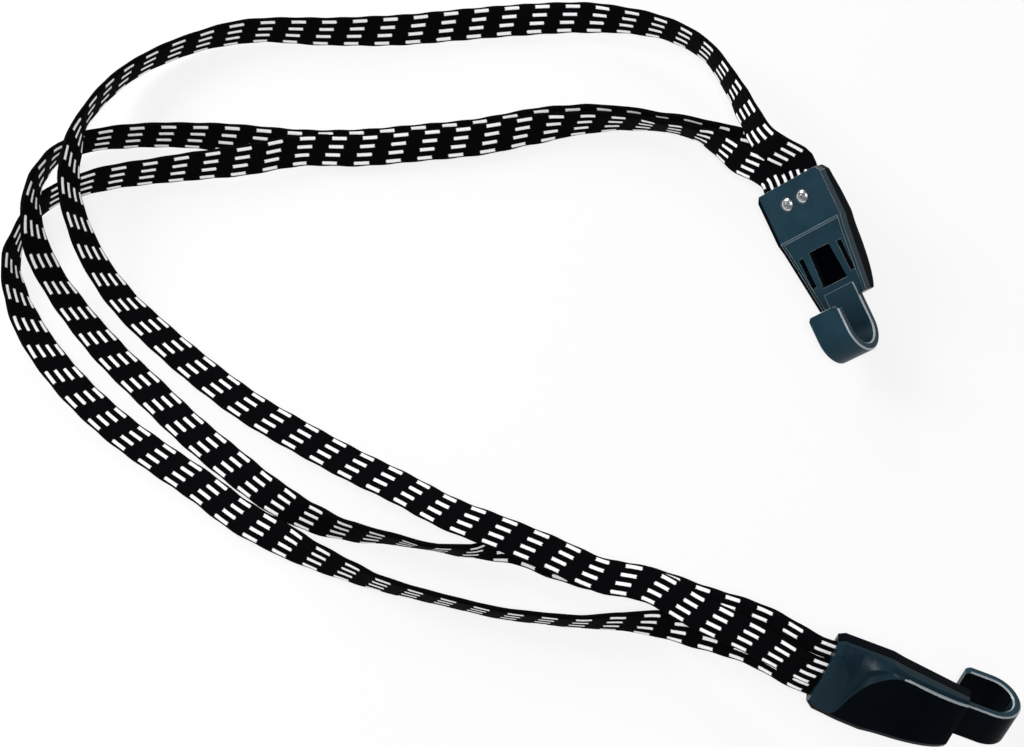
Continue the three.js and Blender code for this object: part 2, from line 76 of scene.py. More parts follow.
# Routes from fitting b to fitting a: the middle in metres and how far the inner edge is raised, in degrees.
INNER_ROUTE = (
    (-0.0515, -0.0722, 0.0270, 44),
    (-0.0685, -0.0622, 0.0225, 30),
    (-0.0859, -0.0510, 0.0185, 18),
    (-0.1024, -0.0465, 0.0155, 12),
    (-0.1198, -0.0382, 0.0146, 8),
    (-0.1374, -0.0309, 0.0148, 5),
    (-0.1551, -0.0232, 0.0128, 3),
    (-0.1733, -0.0118, 0.0080, 0),
    (-0.1917, -0.0016, 0.0050, 0),
    (-0.2103, 0.0092, 0.0038, -1),
    (-0.2291, 0.0208, 0.0032, -4),
    (-0.2482, 0.0353, 0.0034, -9),
    (-0.2674, 0.0519, 0.0050, -18),
    (-0.2782, 0.0624, 0.0070, -28),
    (-0.2889, 0.0767, 0.0115, -42),
    (-0.2951, 0.0897, 0.0170, -54),
    (-0.2983, 0.1018, 0.0210, -61),
    (-0.2981, 0.1168, 0.0220, -72),
    (-0.2946, 0.1333, 0.0195, -94),
    (-0.2809, 0.1578, 0.0100, -93),
    (-0.2591, 0.1719, 0.0068, -88),
    (-0.2359, 0.1780, 0.0065, -76),
    (-0.2046, 0.1780, 0.0060, -62),
    (-0.1771, 0.1790, 0.0055, -48),
    (-0.1536, 0.1815, 0.0052, -38),
    (-0.1300, 0.1836, 0.0054, -32),
    (-0.1064, 0.1834, 0.0076, -48),
    (-0.0871, 0.1795, 0.0115, -72),
    (-0.0718, 0.1736, 0.0145, -82),
    (-0.0586, 0.1623, 0.0185, -86),
    (-0.0503, 0.1460, 0.0225, -80),
    (-0.0448, 0.1288, 0.0288, -68),
    (-0.0389, 0.1158, 0.0310, -54),
)
MIDDLE_ROUTE = (
    (-0.0486, -0.0667, 0.0282, 44),
    (-0.0660, -0.0587, 0.0209, 30),
    (-0.0847, -0.0500, 0.0148, 20),
    (-0.1021, -0.0446, 0.0092, 22),
    (-0.1177, -0.0389, 0.0062, 26),
    (-0.1331, -0.0331, 0.0054, 36),
    (-0.1481, -0.0350, 0.0067, 90),
    (-0.1623, -0.0333, 0.0066, 102),
    (-0.1764, -0.0303, 0.0066, 92),
    (-0.1909, -0.0275, 0.0064, 76),
    (-0.2054, -0.0220, 0.0056, 52),
    (-0.2203, -0.0128, 0.0042, 28),
    (-0.2355, -0.0005, 0.0028, 10),
    (-0.2508, 0.0126, 0.0020, 0),
    (-0.2664, 0.0275, 0.0022, -5),
    (-0.2820, 0.0426, 0.0032, -15),
    (-0.2960, 0.0587, 0.0060, -28),
    (-0.3055, 0.0718, 0.0110, -42),
    (-0.3099, 0.0811, 0.0186, -54),
    (-0.3113, 0.0913, 0.0222, -67),
    (-0.3115, 0.1014, 0.0210, -82),
    (-0.3095, 0.1121, 0.0165, -92),
    (-0.3053, 0.1223, 0.0104, -96),
    (-0.2969, 0.1287, 0.0068, -82),
    (-0.2799, 0.1315, 0.0064, -74),
    (-0.2607, 0.1320, 0.0063, -70),
    (-0.2377, 0.1307, 0.0056, -56),
    (-0.2146, 0.1284, 0.0049, -42),
    (-0.1916, 0.1286, 0.0045, -36),
    (-0.1686, 0.1308, 0.0045, -36),
    (-0.1455, 0.1333, 0.0047, -38),
    (-0.1262, 0.1372, 0.0055, -50),
    (-0.1069, 0.1402, 0.0065, -76),
    (-0.0896, 0.1401, 0.0075, -92),
    (-0.0744, 0.1370, 0.0100, -104),
    (-0.0626, 0.1324, 0.0135, -98),
    (-0.0512, 0.1278, 0.0126, -74),
    (-0.0350, 0.1162, 0.0209, -47),
)
OUTER_ROUTE = (
    (-0.0501, -0.0738, 0.0181, 44),
    (-0.0680, -0.0657, 0.0116, 30),
    (-0.0814, -0.0624, 0.0090, 60),
    (-0.0953, -0.0611, 0.0076, 80),
    (-0.1093, -0.0609, 0.0068, 90),
    (-0.1233, -0.0595, 0.0065, 92),
    (-0.1374, -0.0577, 0.0064, 92),
    (-0.1514, -0.0544, 0.0064, 92),
    (-0.1656, -0.0508, 0.0064, 90),
    (-0.1798, -0.0467, 0.0064, 84),
    (-0.1905, -0.0423, 0.0062, 72),
    (-0.2031, -0.0366, 0.0057, 57),
    (-0.2160, -0.0294, 0.0042, 32),
    (-0.2309, -0.0207, 0.0028, 14),
    (-0.2460, -0.0090, 0.0019, 4),
    (-0.2612, 0.0015, 0.0017, 0),
    (-0.2765, 0.0127, 0.0018, -2),
    (-0.2920, 0.0266, 0.0024, -9),
    (-0.3039, 0.0401, 0.0033, -20),
    (-0.3126, 0.0529, 0.0044, -33),
    (-0.3180, 0.0650, 0.0056, -53),
    (-0.3210, 0.0782, 0.0064, -72),
    (-0.3191, 0.0887, 0.0065, -86),
    (-0.3148, 0.0984, 0.0064, -88),
    (-0.3089, 0.1048, 0.0064, -86),
    (-0.2994, 0.1096, 0.0065, -80),
    (-0.2864, 0.1137, 0.0064, -74),
    (-0.2713, 0.1162, 0.0064, -70),
    (-0.2542, 0.1184, 0.0068, -60),
    (-0.2351, 0.1206, 0.0074, -49),
    (-0.2147, 0.1252, 0.0064, -42),
    (-0.1914, 0.1254, 0.0062, -36),
    (-0.1682, 0.1276, 0.0062, -36),
    (-0.1450, 0.1302, 0.0063, -38),
    (-0.1257, 0.1341, 0.0068, -50),
    (-0.1067, 0.1369, 0.0069, -76),
    (-0.0899, 0.1372, 0.0074, -92),
    (-0.0750, 0.1343, 0.0093, -104),
    (-0.0636, 0.1296, 0.0128, -98),
    (-0.0563, 0.1254, 0.0139, -78),
    (-0.0478, 0.1158, 0.0179, -62),
)

# Each strap: name, route, seats at fitting b and a, real length in metres.
STRAPS = (
    ("inner_strap", INNER_ROUTE, MIDDLE_SEAT, RIGHT_SEAT, 0.738),
    ("middle_strap", MIDDLE_ROUTE, LEFT_SEAT, MIDDLE_SEAT, 0.719),
    ("outer_strap", OUTER_ROUTE, RIGHT_SEAT, LEFT_SEAT, 0.706),
)
# Steps into which each run between two points of a route is cut before the line is spaced evenly.
RUN_STEPS = 16
# Points in the outline of a strap, and how boxy it is across and through, where 1 is an ellipse.
SECTION_POINTS = 24
ACROSS_POWER = 0.4
THROUGH_POWER = 0.5

# Weave: soft edges of a dash across and along, as shares of its half width and of the dash pitch.
DASH_EDGE_ACROSS = (0.8, 1.15)
DASH_EDGE_ALONG = (0.215, 0.245)
# How strongly the cross threads show beside the ribs.
PICK_SHARE = 0.45
# Fuzz on the yarn: size, detail and roughness of the noise.
FUZZ = (0.0007, 2.0, 0.6)
# Shine of the yarn, and roughness from the ground to a dash.
YARN_SHINE = 0.1
WEAVE_ROUGHNESS = (0.82, 0.6)
# How far a dash stands up beside the ribs, and strength and depth of the relief.
DASH_RISE = 0.8
WEAVE_RELIEF = (0.5, 0.0002)

# Finishes of the nylon: roughness, shine and refractive index, which is low where dark faces stay dark.
NYLON_INDEX = 1.53
DARK_INDEX = 1.2
PLATE_FINISH = (0.34, 0.08, NYLON_INDEX)
COVER_FINISH = (0.3, 0.08, NYLON_INDEX)
EDGE_HIGHLIGHT_FINISH = (0.24, 0.5, NYLON_INDEX)
STRIP_FINISH = (0.3, 0.08, DARK_INDEX)
PAD_FINISH = (0.22, 0.05, DARK_INDEX)
# Flow patches: size, detail and roughness of the noise, and how far they change the finish's roughness.
FLOW = (0.012, 3.0, 0.55)
FLOW_ROUGHNESS = (-0.05, 0.06)
# Grain: detail and roughness of the noise, and strength and depth of the relief.
GRAIN_NOISE = (2.0, 0.6)
GRAIN_RELIEF = (0.15, 0.0001)
# Painted shade in hollows: how far they reach, how open the darkest and lightest are, the colour left there,
# and test rays.
HOLLOW_SHADE_REACH = 0.03
HOLLOW_SHADE_OPEN = (0.45, 0.92)
HOLLOW_SHADE_LEFT = 0.15
HOLLOW_SHADE_RAYS = 8

# Zinc: size, detail and roughness of the noise of dull spots, and roughness from bright to dull.
ZINC_SPOTS = (0.0012, 3.0, 0.6)
ZINC_ROUGHNESS = (0.18, 0.4)

# Stage: sensor width in millimetres, half side and height of the floor, its roughness and its own glow.
SENSOR_WIDTH = 36
FLOOR_HALF = 3.0
FLOOR_HEIGHT = -0.0006
FLOOR_ROUGHNESS = 0.9
FLOOR_GLOW = 0.8
# Light from the surroundings, and the same as the camera sees it.
WORLD_LIGHT = (0.22, 1.0)
WHITE = (1.0, 1.0, 1.0, 1.0)
# Each lamp: name, place, side in metres and watts.
LAMPS = (
    ("front_light", (-0.13, -0.45, 1.3), 0.25, 8.0),
    ("left_light", (-1.15, 0.6, 0.75), 0.6, 12.0),
    ("back_light", (-0.55, 1.15, 0.6), 0.4, 5.0),
)

# Each fitting: name, body and place.
ENDS = (("end_a", PULLED, END_A), ("end_b", HELD, END_B))
# Points closer than this are joined, faces flatter than this are one, and sharper edges are rounded.
JOIN_DISTANCE = 2e-6
FLAT_ANGLE = math.radians(1.5)
SHARP_ANGLE = math.radians(26)
EDGE_SEGMENTS = 3
# Places of the materials on a hook plate and on a cover. Rounded edges take the pale one, a painted
# highlight.
PLAIN = 0
EDGE_HIGHLIGHT = 1
FOLD_HIGHLIGHT = 2
PAINTED_SHADE = 3
PAD_AND_SIDE_SHADE = 2

# Hook strip: where it starts and leaves the fitting, and the band off the middle where its edges take the
# painted highlight.
STRIP_START = 0.044
STRIP_OUT = 0.0495
STRIP_EDGE = (0.0066, 0.0069)
# Fold across the plate, drawn paler as a painted highlight: its stretch along the fitting and the least
# height of its faces.
FOLD_STRETCH = (0.0195, 0.0208)
FOLD_HEIGHT = 0.0031
# Left side of the plate, along the fitting and across it, and the width of the margin on it that is drawn
# dark as painted shade.
PLATE_SIDE = (
    (-0.001, -0.0148),
    (0.0206, -0.0148),
    (0.0240, -0.0139),
    (0.0490, -0.0108),
)
PLATE_MARGIN = 0.0014
# Ridge on the cover's back, where its thumb pad starts: along the fitting and across it.
PAD_RIDGE = (
    (0.0090, 0.0104),
    (0.0110, 0.0026),
    (0.0135, -0.0044),
    (0.0180, -0.0098),
    (0.0220, -0.0123),
    (0.0260, -0.0126),
    (0.0330, -0.0116),
    (0.0410, -0.0106),
    (0.0470, -0.0099),
    (0.0510, -0.0095),
)
# The ridge takes the painted highlight from here on, in a line of this reach to both sides, on faces deeper
# than this.
RIDGE_HIGHLIGHT_START = 0.026
RIDGE_REACH = (-0.00035, 0.0003)
RIDGE_DEPTH = -0.003
# How far a face has to turn down, or to the right, to count as an underside or a side; both are drawn dark as
# painted shade.
DOWN_TURN = -0.3
SIDE_TURN = 0.35


def linear(hex_colour):
    """An sRGB hex colour as linear red, green and blue."""
    values = [int(hex_colour[i : i + 2], 16) / 255 for i in (1, 3, 5)]
    return tuple(v / 12.92 if v <= 0.04045 else ((v + 0.055) / 1.055) ** 2.4 for v in values)


class StrapSettings(bpy.types.PropertyGroup):
    """Sizes and colours of the woven straps."""

    width: FloatProperty(
        name="Width", description="Width of a strap", default=0.0125, unit="LENGTH"
    )
    thickness: FloatProperty(
        name="Thickness", description="Thickness of a strap", default=0.0022, unit="LENGTH"
    )
    ring_step: FloatProperty(
        name="Ring step", description="Spacing of the mesh rings", default=0.002, unit="LENGTH"
    )
    scallop: FloatProperty(
        name="Scallop", description="Swell of the edges at each dash row", default=0.00014, unit="LENGTH"
    )
    dash_pitch: FloatProperty(
        name="Dash pitch", description="From one dash to the next", default=0.012, unit="LENGTH"
    )
    dash_width: FloatProperty(
        name="Dash width", description="Width of a dash", default=0.00125, unit="LENGTH"
    )
    column_pitch: FloatProperty(
        name="Column pitch",
        description="From one column of dashes to the next",
        default=0.0032,
        unit="LENGTH",
    )
    row_skew: FloatProperty(
        name="Row skew", description="How far each column is set back", default=0.0013, unit="LENGTH"
    )
    yarn_pitch: FloatProperty(
        name="Yarn pitch", description="Spacing of the yarns in a dash", default=0.0009, unit="LENGTH"
    )
    ragged: FloatProperty(
        name="Ragged", description="How unevenly the yarns of a dash end", default=0.0001, unit="LENGTH"
    )
    rib_pitch: FloatProperty(
        name="Rib pitch", description="Spacing of the lengthwise ribs", default=0.0008, unit="LENGTH"
    )
    pick_pitch: FloatProperty(
        name="Pick pitch", description="Spacing of the cross threads", default=0.0012, unit="LENGTH"
    )
    yarn: FloatVectorProperty(
        name="Yarn", description="Black ground yarn", subtype="COLOR", default=linear("#0b0c0e")
    )
    # Painted shade: the ground yarn is drawn darker in the valleys between ribs.
    valley_shade: FloatVectorProperty(
        name="Valley", description="Black yarn between ribs", subtype="COLOR", default=linear("#040405")
    )
    dash: FloatVectorProperty(
        name="Dash", description="White dash yarn", subtype="COLOR", default=linear("#fafafa")
    )
    # Painted shade: the dash yarn is drawn greyer in the low parts of the weave.
    shaded_dash: FloatVectorProperty(
        name="Shaded dash",
        description="Dash yarn between threads",
        subtype="COLOR",
        default=linear("#e2e4e7"),
    )
    # Painted glow: the weave gives off light at this share of its own colour, so the white dashes glow.
    painted_glow: FloatProperty(
        name="Whitener", description="Glow of the whitener in the dash yarn", default=0.2, min=0, max=1
    )


class FittingSettings(bpy.types.PropertyGroup):
    """Sizes and colours of the moulded fittings and their screws."""

    edge_radius: FloatProperty(
        name="Edge radius", description="Radius on the moulded edges", default=0.0007, unit="LENGTH"
    )
    screw_radius: FloatProperty(
        name="Screw radius", description="Radius on the screw edges", default=0.00015, unit="LENGTH"
    )
    grain: FloatProperty(
        name="Grain", description="Size of the moulded grain", default=0.0006, unit="LENGTH"
    )
    plate: FloatVectorProperty(
        name="Plate", description="Hook plate", subtype="COLOR", default=linear("#182e39")
    )
    plate_pale: FloatVectorProperty(
        name="Plate pale", description="Pale patches of the plate", subtype="COLOR", default=linear("#25424f")
    )
    cover: FloatVectorProperty(
        name="Cover", description="Grip cover", subtype="COLOR", default=linear("#0f202a")
    )
    cover_pale: FloatVectorProperty(
        name="Cover pale", description="Pale patches of the cover", subtype="COLOR", default=linear("#182f3b")
    )
    # Painted highlight: pale colours drawn on rounded edges, on the strip's edges and along the cover's
    # ridge.
    plate_edge_highlight: FloatVectorProperty(
        name="Plate edge", description="Rubbed edges of the plate", subtype="COLOR", default=linear("#87969d")
    )
    cover_edge_highlight: FloatVectorProperty(
        name="Cover edge", description="Rubbed edges of the cover", subtype="COLOR", default=linear("#75858d")
    )
    edge_highlight_pale: FloatVectorProperty(
        name="Edge pale",
        description="Palest spots of rubbed edges",
        subtype="COLOR",
        default=linear("#bcc5c9"),
    )
    # Painted highlight: the paler colour of the plate's fold line.
    fold_highlight: FloatVectorProperty(
        name="Fold", description="Fold line of the plate", subtype="COLOR", default=linear("#3f5a66")
    )
    fold_highlight_pale: FloatVectorProperty(
        name="Fold pale", description="Pale patches of the fold", subtype="COLOR", default=linear("#56707b")
    )
    # Near-black of the thumb pad, also drawn as painted shade on the cover's sides, the strip's undersides
    # and the plate's left margin.
    pad: FloatVectorProperty(
        name="Pad", description="Thumb pad and dark faces", subtype="COLOR", default=linear("#04080c")
    )
    pad_pale: FloatVectorProperty(
        name="Pad pale", description="Pale patches of dark faces", subtype="COLOR", default=linear("#090f15")
    )
    # Painted shade: the colour the nylon is darkened to in its deepest hollows.
    hollow_shade: FloatVectorProperty(
        name="Hollow", description="Deepest hollows", subtype="COLOR", default=linear("#020406")
    )
    zinc: FloatVectorProperty(
        name="Zinc", description="Bright zinc plating", subtype="COLOR", default=linear("#d4d6d9")
    )
    zinc_dull: FloatVectorProperty(
        name="Dull zinc", description="Dull spots in the plating", subtype="COLOR", default=linear("#a9adb3")
    )


class StageSettings(bpy.types.PropertyGroup):
    """Floor and camera."""

    floor: FloatVectorProperty(
        name="Floor", description="Pale floor", subtype="COLOR", default=linear("#f4f4f4")
    )
    lens: FloatProperty(
        name="Lens", description="Focal length in millimetres", default=75.94
    )
    elevation: FloatProperty(
        name="Elevation", description="Camera height angle", default=math.radians(68), subtype="ANGLE"
    )
    distance: FloatProperty(
        name="Distance", description="Camera distance", default=0.8, unit="LENGTH"
    )
    look_at: FloatVectorProperty(
        name="Look at",
        description="Point in the middle of the view",
        subtype="TRANSLATION",
        default=(-0.133136, 0.035693, 0.0),
    )


def add_node(tree, kind, links=None, **settings):
    """Adds a node, sets it up and links or fills its inputs."""
    node = tree.nodes.new(kind)
    for name, value in settings.items():
        setattr(node, name, value)
    for socket, value in (links or {}).items():
        if isinstance(value, bpy.types.NodeSocket):
            tree.links.new(value, node.inputs[socket])
        else:
            node.inputs[socket].default_value = value
    return node


def maths(tree, operation, *values):
    """The result of a sum on values and sockets."""
    return add_node(tree, "ShaderNodeMath", dict(enumerate(values)), operation=operation).outputs[0]


def ranged(tree, value, old, new, **settings):
    """A value taken from an old range to a new one."""
    links = {"Value": value, "From Min": old[0], "From Max": old[1], "To Min": new[0], "To Max": new[1]}
    return add_node(tree, "ShaderNodeMapRange", links, **settings).outputs["Result"]


def mixed(tree, share, first, second):
    """A colour between two colours."""
    links = {"Factor": share, "A": first, "B": second}
    return add_node(tree, "ShaderNodeMix", links, data_type="RGBA").outputs["Result"]


def noise(tree, size, detail, roughness):
    """A noise with patches of a real size, fixed to the piece."""
    coords = add_node(tree, "ShaderNodeTexCoord")
    links = {"Vector": coords.outputs["Object"], "Scale": 1 / size, "Detail": detail, "Roughness": roughness}
    return add_node(tree, "ShaderNodeTexNoise", links).outputs["Fac"]


def bumped(tree, height, strength, depth):
    """The normal of a relief."""
    links = {"Strength": strength, "Distance": depth, "Height": height}
    return add_node(tree, "ShaderNodeBump", links).outputs["Normal"]


def new_material(name, **sockets):
    """A material with its Principled shader, the same all over where a socket is given."""
    material = bpy.data.materials.new(name)
    material.use_nodes = True
    shader = material.node_tree.nodes["Principled BSDF"]
    for socket, value in sockets.items():
        shader.inputs[socket.replace("_", " ")].default_value = value
    return material, material.node_tree, shader


def feed(tree, shader, **sockets):
    """Links results to the sockets of a shader."""
    for socket, result in sockets.items():
        tree.links.new(result, shader.inputs[socket.replace("_", " ")])


def link_object(name, data):
    """A new object in the scene."""
    made = bpy.data.objects.new(name, data)
    bpy.context.scene.collection.objects.link(made)
    return made


def solid(colour):
    """A colour with full alpha, as node sockets want it."""
    return (*colour, 1.0)


# Woven polyester over rubber: matt black ground yarn in lengthwise ribs, with bright white yarns as dashes,
# painted shade in the low parts of the weave, and a painted glow that brightens the dashes.
def woven_polyester(look):
    material, tree, shader = new_material(
        "woven_polyester", IOR=DARK_INDEX, Specular_IOR_Level=YARN_SHINE, Emission_Strength=look.painted_glow
    )
    place = add_node(tree, "ShaderNodeAttribute", attribute_name="strap_place")
    split = add_node(tree, "ShaderNodeSeparateXYZ", {0: place.outputs["Vector"]})
    along, across = split.outputs["X"], split.outputs["Y"]

    # Columns of dashes: the nearest column, then how far from its middle.
    lanes = maths(tree, "MULTIPLY_ADD", across, 1 / look.column_pitch, 0.5)
    column = maths(tree, "ROUND", lanes)
    aside = maths(tree, "ABSOLUTE", maths(tree, "SUBTRACT", lanes, column))
    half = look.dash_width / look.column_pitch / 2
    edge = [share * half for share in DASH_EDGE_ACROSS]
    in_column = ranged(tree, aside, edge, (1.0, 0.0), interpolation_type="SMOOTHSTEP")

    # Dashes and gaps along each column, each column set back a little, with yarns that end unevenly.
    back = maths(tree, "MULTIPLY_ADD", column, look.row_skew, along)
    yarns = maths(tree, "SINE", maths(tree, "MULTIPLY", across, math.tau / look.yarn_pitch))
    uneven = maths(tree, "MULTIPLY_ADD", yarns, look.ragged, back)
    part = maths(tree, "FRACT", maths(tree, "MULTIPLY", uneven, 1 / look.dash_pitch))
    from_middle = maths(tree, "ABSOLUTE", maths(tree, "SUBTRACT", part, 0.5))
    in_dash = ranged(tree, from_middle, DASH_EDGE_ALONG, (1.0, 0.0), interpolation_type="SMOOTHSTEP")
    dashes = maths(tree, "MULTIPLY", in_column, in_dash)

    # Lengthwise ribs and cross threads, a little coarser than the real ones so that they show.
    ribs = maths(tree, "COSINE", maths(tree, "MULTIPLY", across, math.tau / look.rib_pitch))
    picks = maths(tree, "SINE", maths(tree, "MULTIPLY", along, math.tau / look.pick_pitch))
    weave = maths(tree, "MULTIPLY_ADD", picks, PICK_SHARE, ribs)
    most = 1 + PICK_SHARE
    rise = ranged(tree, weave, (-most, most), (0.0, 1.0))
    # Painted shade: the low parts of the weave are drawn darker, in the black ground and in the white dashes,
    # broken up by fuzz.
    rib_shade_and_fuzz = maths(tree, "MULTIPLY", rise, noise(tree, *FUZZ))

    ground = mixed(tree, rib_shade_and_fuzz, solid(look.valley_shade), solid(look.yarn))
    bright = mixed(tree, rise, solid(look.shaded_dash), solid(look.dash))
    colour = mixed(tree, dashes, ground, bright)
    rough = ranged(tree, dashes, (0.0, 1.0), WEAVE_ROUGHNESS)
    height = maths(tree, "MULTIPLY_ADD", dashes, DASH_RISE, rise)
    relief = bumped(tree, height, *WEAVE_RELIEF)
    # The weave's colour is also its glow, a painted glow that is strongest on the white dashes.
    feed(tree, shader, Base_Color=colour, Emission_Color=colour, Roughness=rough, Normal=relief)
    return material


# Moulded nylon: blue grey black with a fine grain, paler flow patches and painted shade in its hollows. Given
# pale colours, it draws the painted highlight on edges.
def moulded_nylon(name, look, base, pale, finish):
    roughness, shine, index = finish
    material, tree, shader = new_material(name, IOR=index, Specular_IOR_Level=shine)
    flow = noise(tree, *FLOW)
    skin = noise(tree, look.grain, *GRAIN_NOISE)
    patches = mixed(tree, flow, solid(base), solid(pale))
    # Painted shade: an occlusion test darkens the colour where the surface is enclosed.
    hollow_shade = add_node(tree, "ShaderNodeAmbientOcclusion", {"Distance": HOLLOW_SHADE_REACH}, samples=HOLLOW_SHADE_RAYS)
    openness = ranged(tree, hollow_shade.outputs["AO"], HOLLOW_SHADE_OPEN, (HOLLOW_SHADE_LEFT, 1.0))
    colour = mixed(tree, openness, solid(look.hollow_shade), patches)
    rough = ranged(tree, flow, (0.0, 1.0), [roughness + change for change in FLOW_ROUGHNESS])
    relief = bumped(tree, skin, *GRAIN_RELIEF)
    feed(tree, shader, Base_Color=colour, Roughness=rough, Normal=relief)
    return material


# Bright zinc plated steel: a mirror-like grey with dull spots where the plating is thin.
def zinc_plated_steel(look):
    material, tree, shader = new_material("zinc_plated_steel", Metallic=1.0)
    spots = noise(tree, *ZINC_SPOTS)
    colour = mixed(tree, spots, solid(look.zinc), solid(look.zinc_dull))
    rough = ranged(tree, spots, (0.0, 1.0), ZINC_ROUGHNESS)
    feed(tree, shader, Base_Color=colour, Roughness=rough)
    return material


# White paper floor: nearly white to the camera and in reflections, and still dark where the straps shade it.
def white_paper(look):
    paper = solid(look.floor)
    material, tree, shader = new_material("white_paper", Base_Color=paper, Roughness=FLOOR_ROUGHNESS)
    seen = add_node(tree, "ShaderNodeLightPath").outputs
    direct = maths(tree, "MAXIMUM", seen["Is Camera Ray"], seen["Is Glossy Ray"])
    through = maths(tree, "MAXIMUM", direct, seen["Is Transmission Ray"])
    share = maths(tree, "MULTIPLY", through, FLOOR_GLOW)
    glow = add_node(tree, "ShaderNodeEmission", {"Color": WHITE, "Strength": 1.0})
    both = add_node(tree, "ShaderNodeMixShader", {0: share, 1: shader.outputs[0], 2: glow.outputs[0]})
    tree.links.new(both.outputs[0], tree.nodes["Material Output"].inputs["Surface"])
    return material


def place_of(end):
    """The matrix of a fitting."""
    turn, at = end
    yaw, pitch, roll = (math.radians(angle) for angle in turn)
    turned = Matrix.Rotation(yaw, 4, "Z") @ Matrix.Rotation(pitch, 4, "Y") @ Matrix.Rotation(roll, 4, "X")
    return Matrix.Translation(at) @ turned


def smooth_runs(points):
    """Cubic runs through the points, each as four vectors for the powers 0 to 3 of its parameter."""
    ends = [2 * points[0] - points[1], *points, 2 * points[-1] - points[-2]]
    runs = []
    for p0, p1, p2, p3 in zip(ends, ends[1:], ends[2:], ends[3:]):
        d0, d1, d2 = (math.sqrt((b - a).length) for a, b in ((p0, p1), (p1, p2), (p2, p3)))
        leave = ((p1 - p0) / d0 - (p2 - p0) / (d0 + d1) + (p2 - p1) / d1) * d1
        arrive = ((p2 - p1) / d1 - (p3 - p1) / (d1 + d2) + (p3 - p2) / d2) * d1
        runs.append((p1, leave, 3 * (p2 - p1) - 2 * leave - arrive, 2 * (p1 - p2) + leave + arrive))
    return runs


def point_on(run, t):
    """Place and direction on a run."""
    a, b, c, d = run
    return a + t * (b + t * (c + t * d)), (b + t * (2 * c + t * 3 * d)).normalized()


def strap_line(route, seat_b, seat_a):
    """Places, directions and across directions along a strap, closely spaced."""
    place_a, place_b = place_of(END_A), place_of(END_B)
    first = [place_b @ Vector((x, *seat_b)) for x in IN_MOUTH]
    last = [place_a @ Vector((x, *seat_a)) for x in reversed(IN_MOUTH)]
    points = first + [Vector(step[:3]) for step in route] + last
    runs = smooth_runs(points)
    across = []
    for i in range(len(points)):
        if i < len(first):
            across.append(place_b.to_3x3() @ Vector((0, -1, 0)))
        elif i >= len(points) - len(last):
            across.append(place_a.to_3x3() @ Vector((0, -1, 0)))
        else:
            tilt = math.radians(route[i - len(first)][3])
            ahead = point_on(runs[i], 0)[1]
            inward = Vector((ahead.y, -ahead.x, 0)).normalized()
            across.append(inward * math.cos(tilt) + Vector((0, 0, math.sin(tilt))))
    line = []
    for i, run in enumerate(runs):
        for k in range(RUN_STEPS + (i == len(runs) - 1)):
            t = k / RUN_STEPS
            place, ahead = point_on(run, t)
            side = across[i].lerp(across[i + 1], t * t * (3 - 2 * t))
            line.append((place, ahead, (side - ahead * side.dot(ahead)).normalized()))
    return line


def even_line(line, step):
    """The same line at even steps, with the length so far at each."""
    lengths = [0.0]
    for a, b in zip(line, line[1:]):
        lengths.append(lengths[-1] + (b[0] - a[0]).length)
    count = round(lengths[-1] / step)
    even = []
    index = 0
    for k in range(count + 1):
        length = lengths[-1] * k / count
        while index < len(line) - 2 and lengths[index + 1] < length:
            index += 1
        share = (length - lengths[index]) / (lengths[index + 1] - lengths[index])
        place, ahead, side = (a.lerp(b, share) for a, b in zip(line[index], line[index + 1]))
        even.append((length, place, ahead.normalized(), side.normalized()))
    return even


def strap_section(half, thick):
    """Outline of a strap: flat faces with a slight crown and full round edges."""
    points = []
    for k in range(SECTION_POINTS):
        angle = math.tau * k / SECTION_POINTS
        c, s = math.cos(angle), math.sin(angle)
        v = half * math.copysign(abs(c) ** ACROSS_POWER, c)
        n = thick * math.copysign(abs(s) ** THROUGH_POWER, s)
        points.append((v, n))
    return points


def strap_mesh(name, line, look):
    """The skin of a strap along a line, with its place on the strap kept at each point for the weave."""
    vertices, places, faces = [], [], []
    for so_far, place, ahead, side in line:
        swell = look.scallop * math.cos(math.tau * so_far / look.dash_pitch)
        up = side.cross(ahead)
        for v, n in strap_section(look.width / 2 + swell - look.scallop, look.thickness / 2):
            vertices.append(place + side * v + up * n)
            places.append((so_far, v, n))
    count = SECTION_POINTS
    for i in range(len(line) - 1):
        near, far = i * count, (i + 1) * count
        for k in range(count):
            faces.append((near + k, near + (k + 1) % count, far + (k + 1) % count, far + k))
    faces.append(tuple(range(count)))
    faces.append(tuple(range(len(vertices) - count, len(vertices))))
    mesh = bpy.data.meshes.new(name)
    mesh.from_pydata(vertices, [], faces)
    spots = mesh.attributes.new("strap_place", "FLOAT_VECTOR", "POINT")
    spots.data.foreach_set("vector", [value for spot in places for value in spot])
    bm = bmesh.new()
    bm.from_mesh(mesh)
    bmesh.ops.recalc_face_normals(bm, faces=bm.faces)
    bm.to_mesh(mesh)
    bm.free()
    mesh.polygons.foreach_set("use_smooth", [True] * len(mesh.polygons))
    return mesh


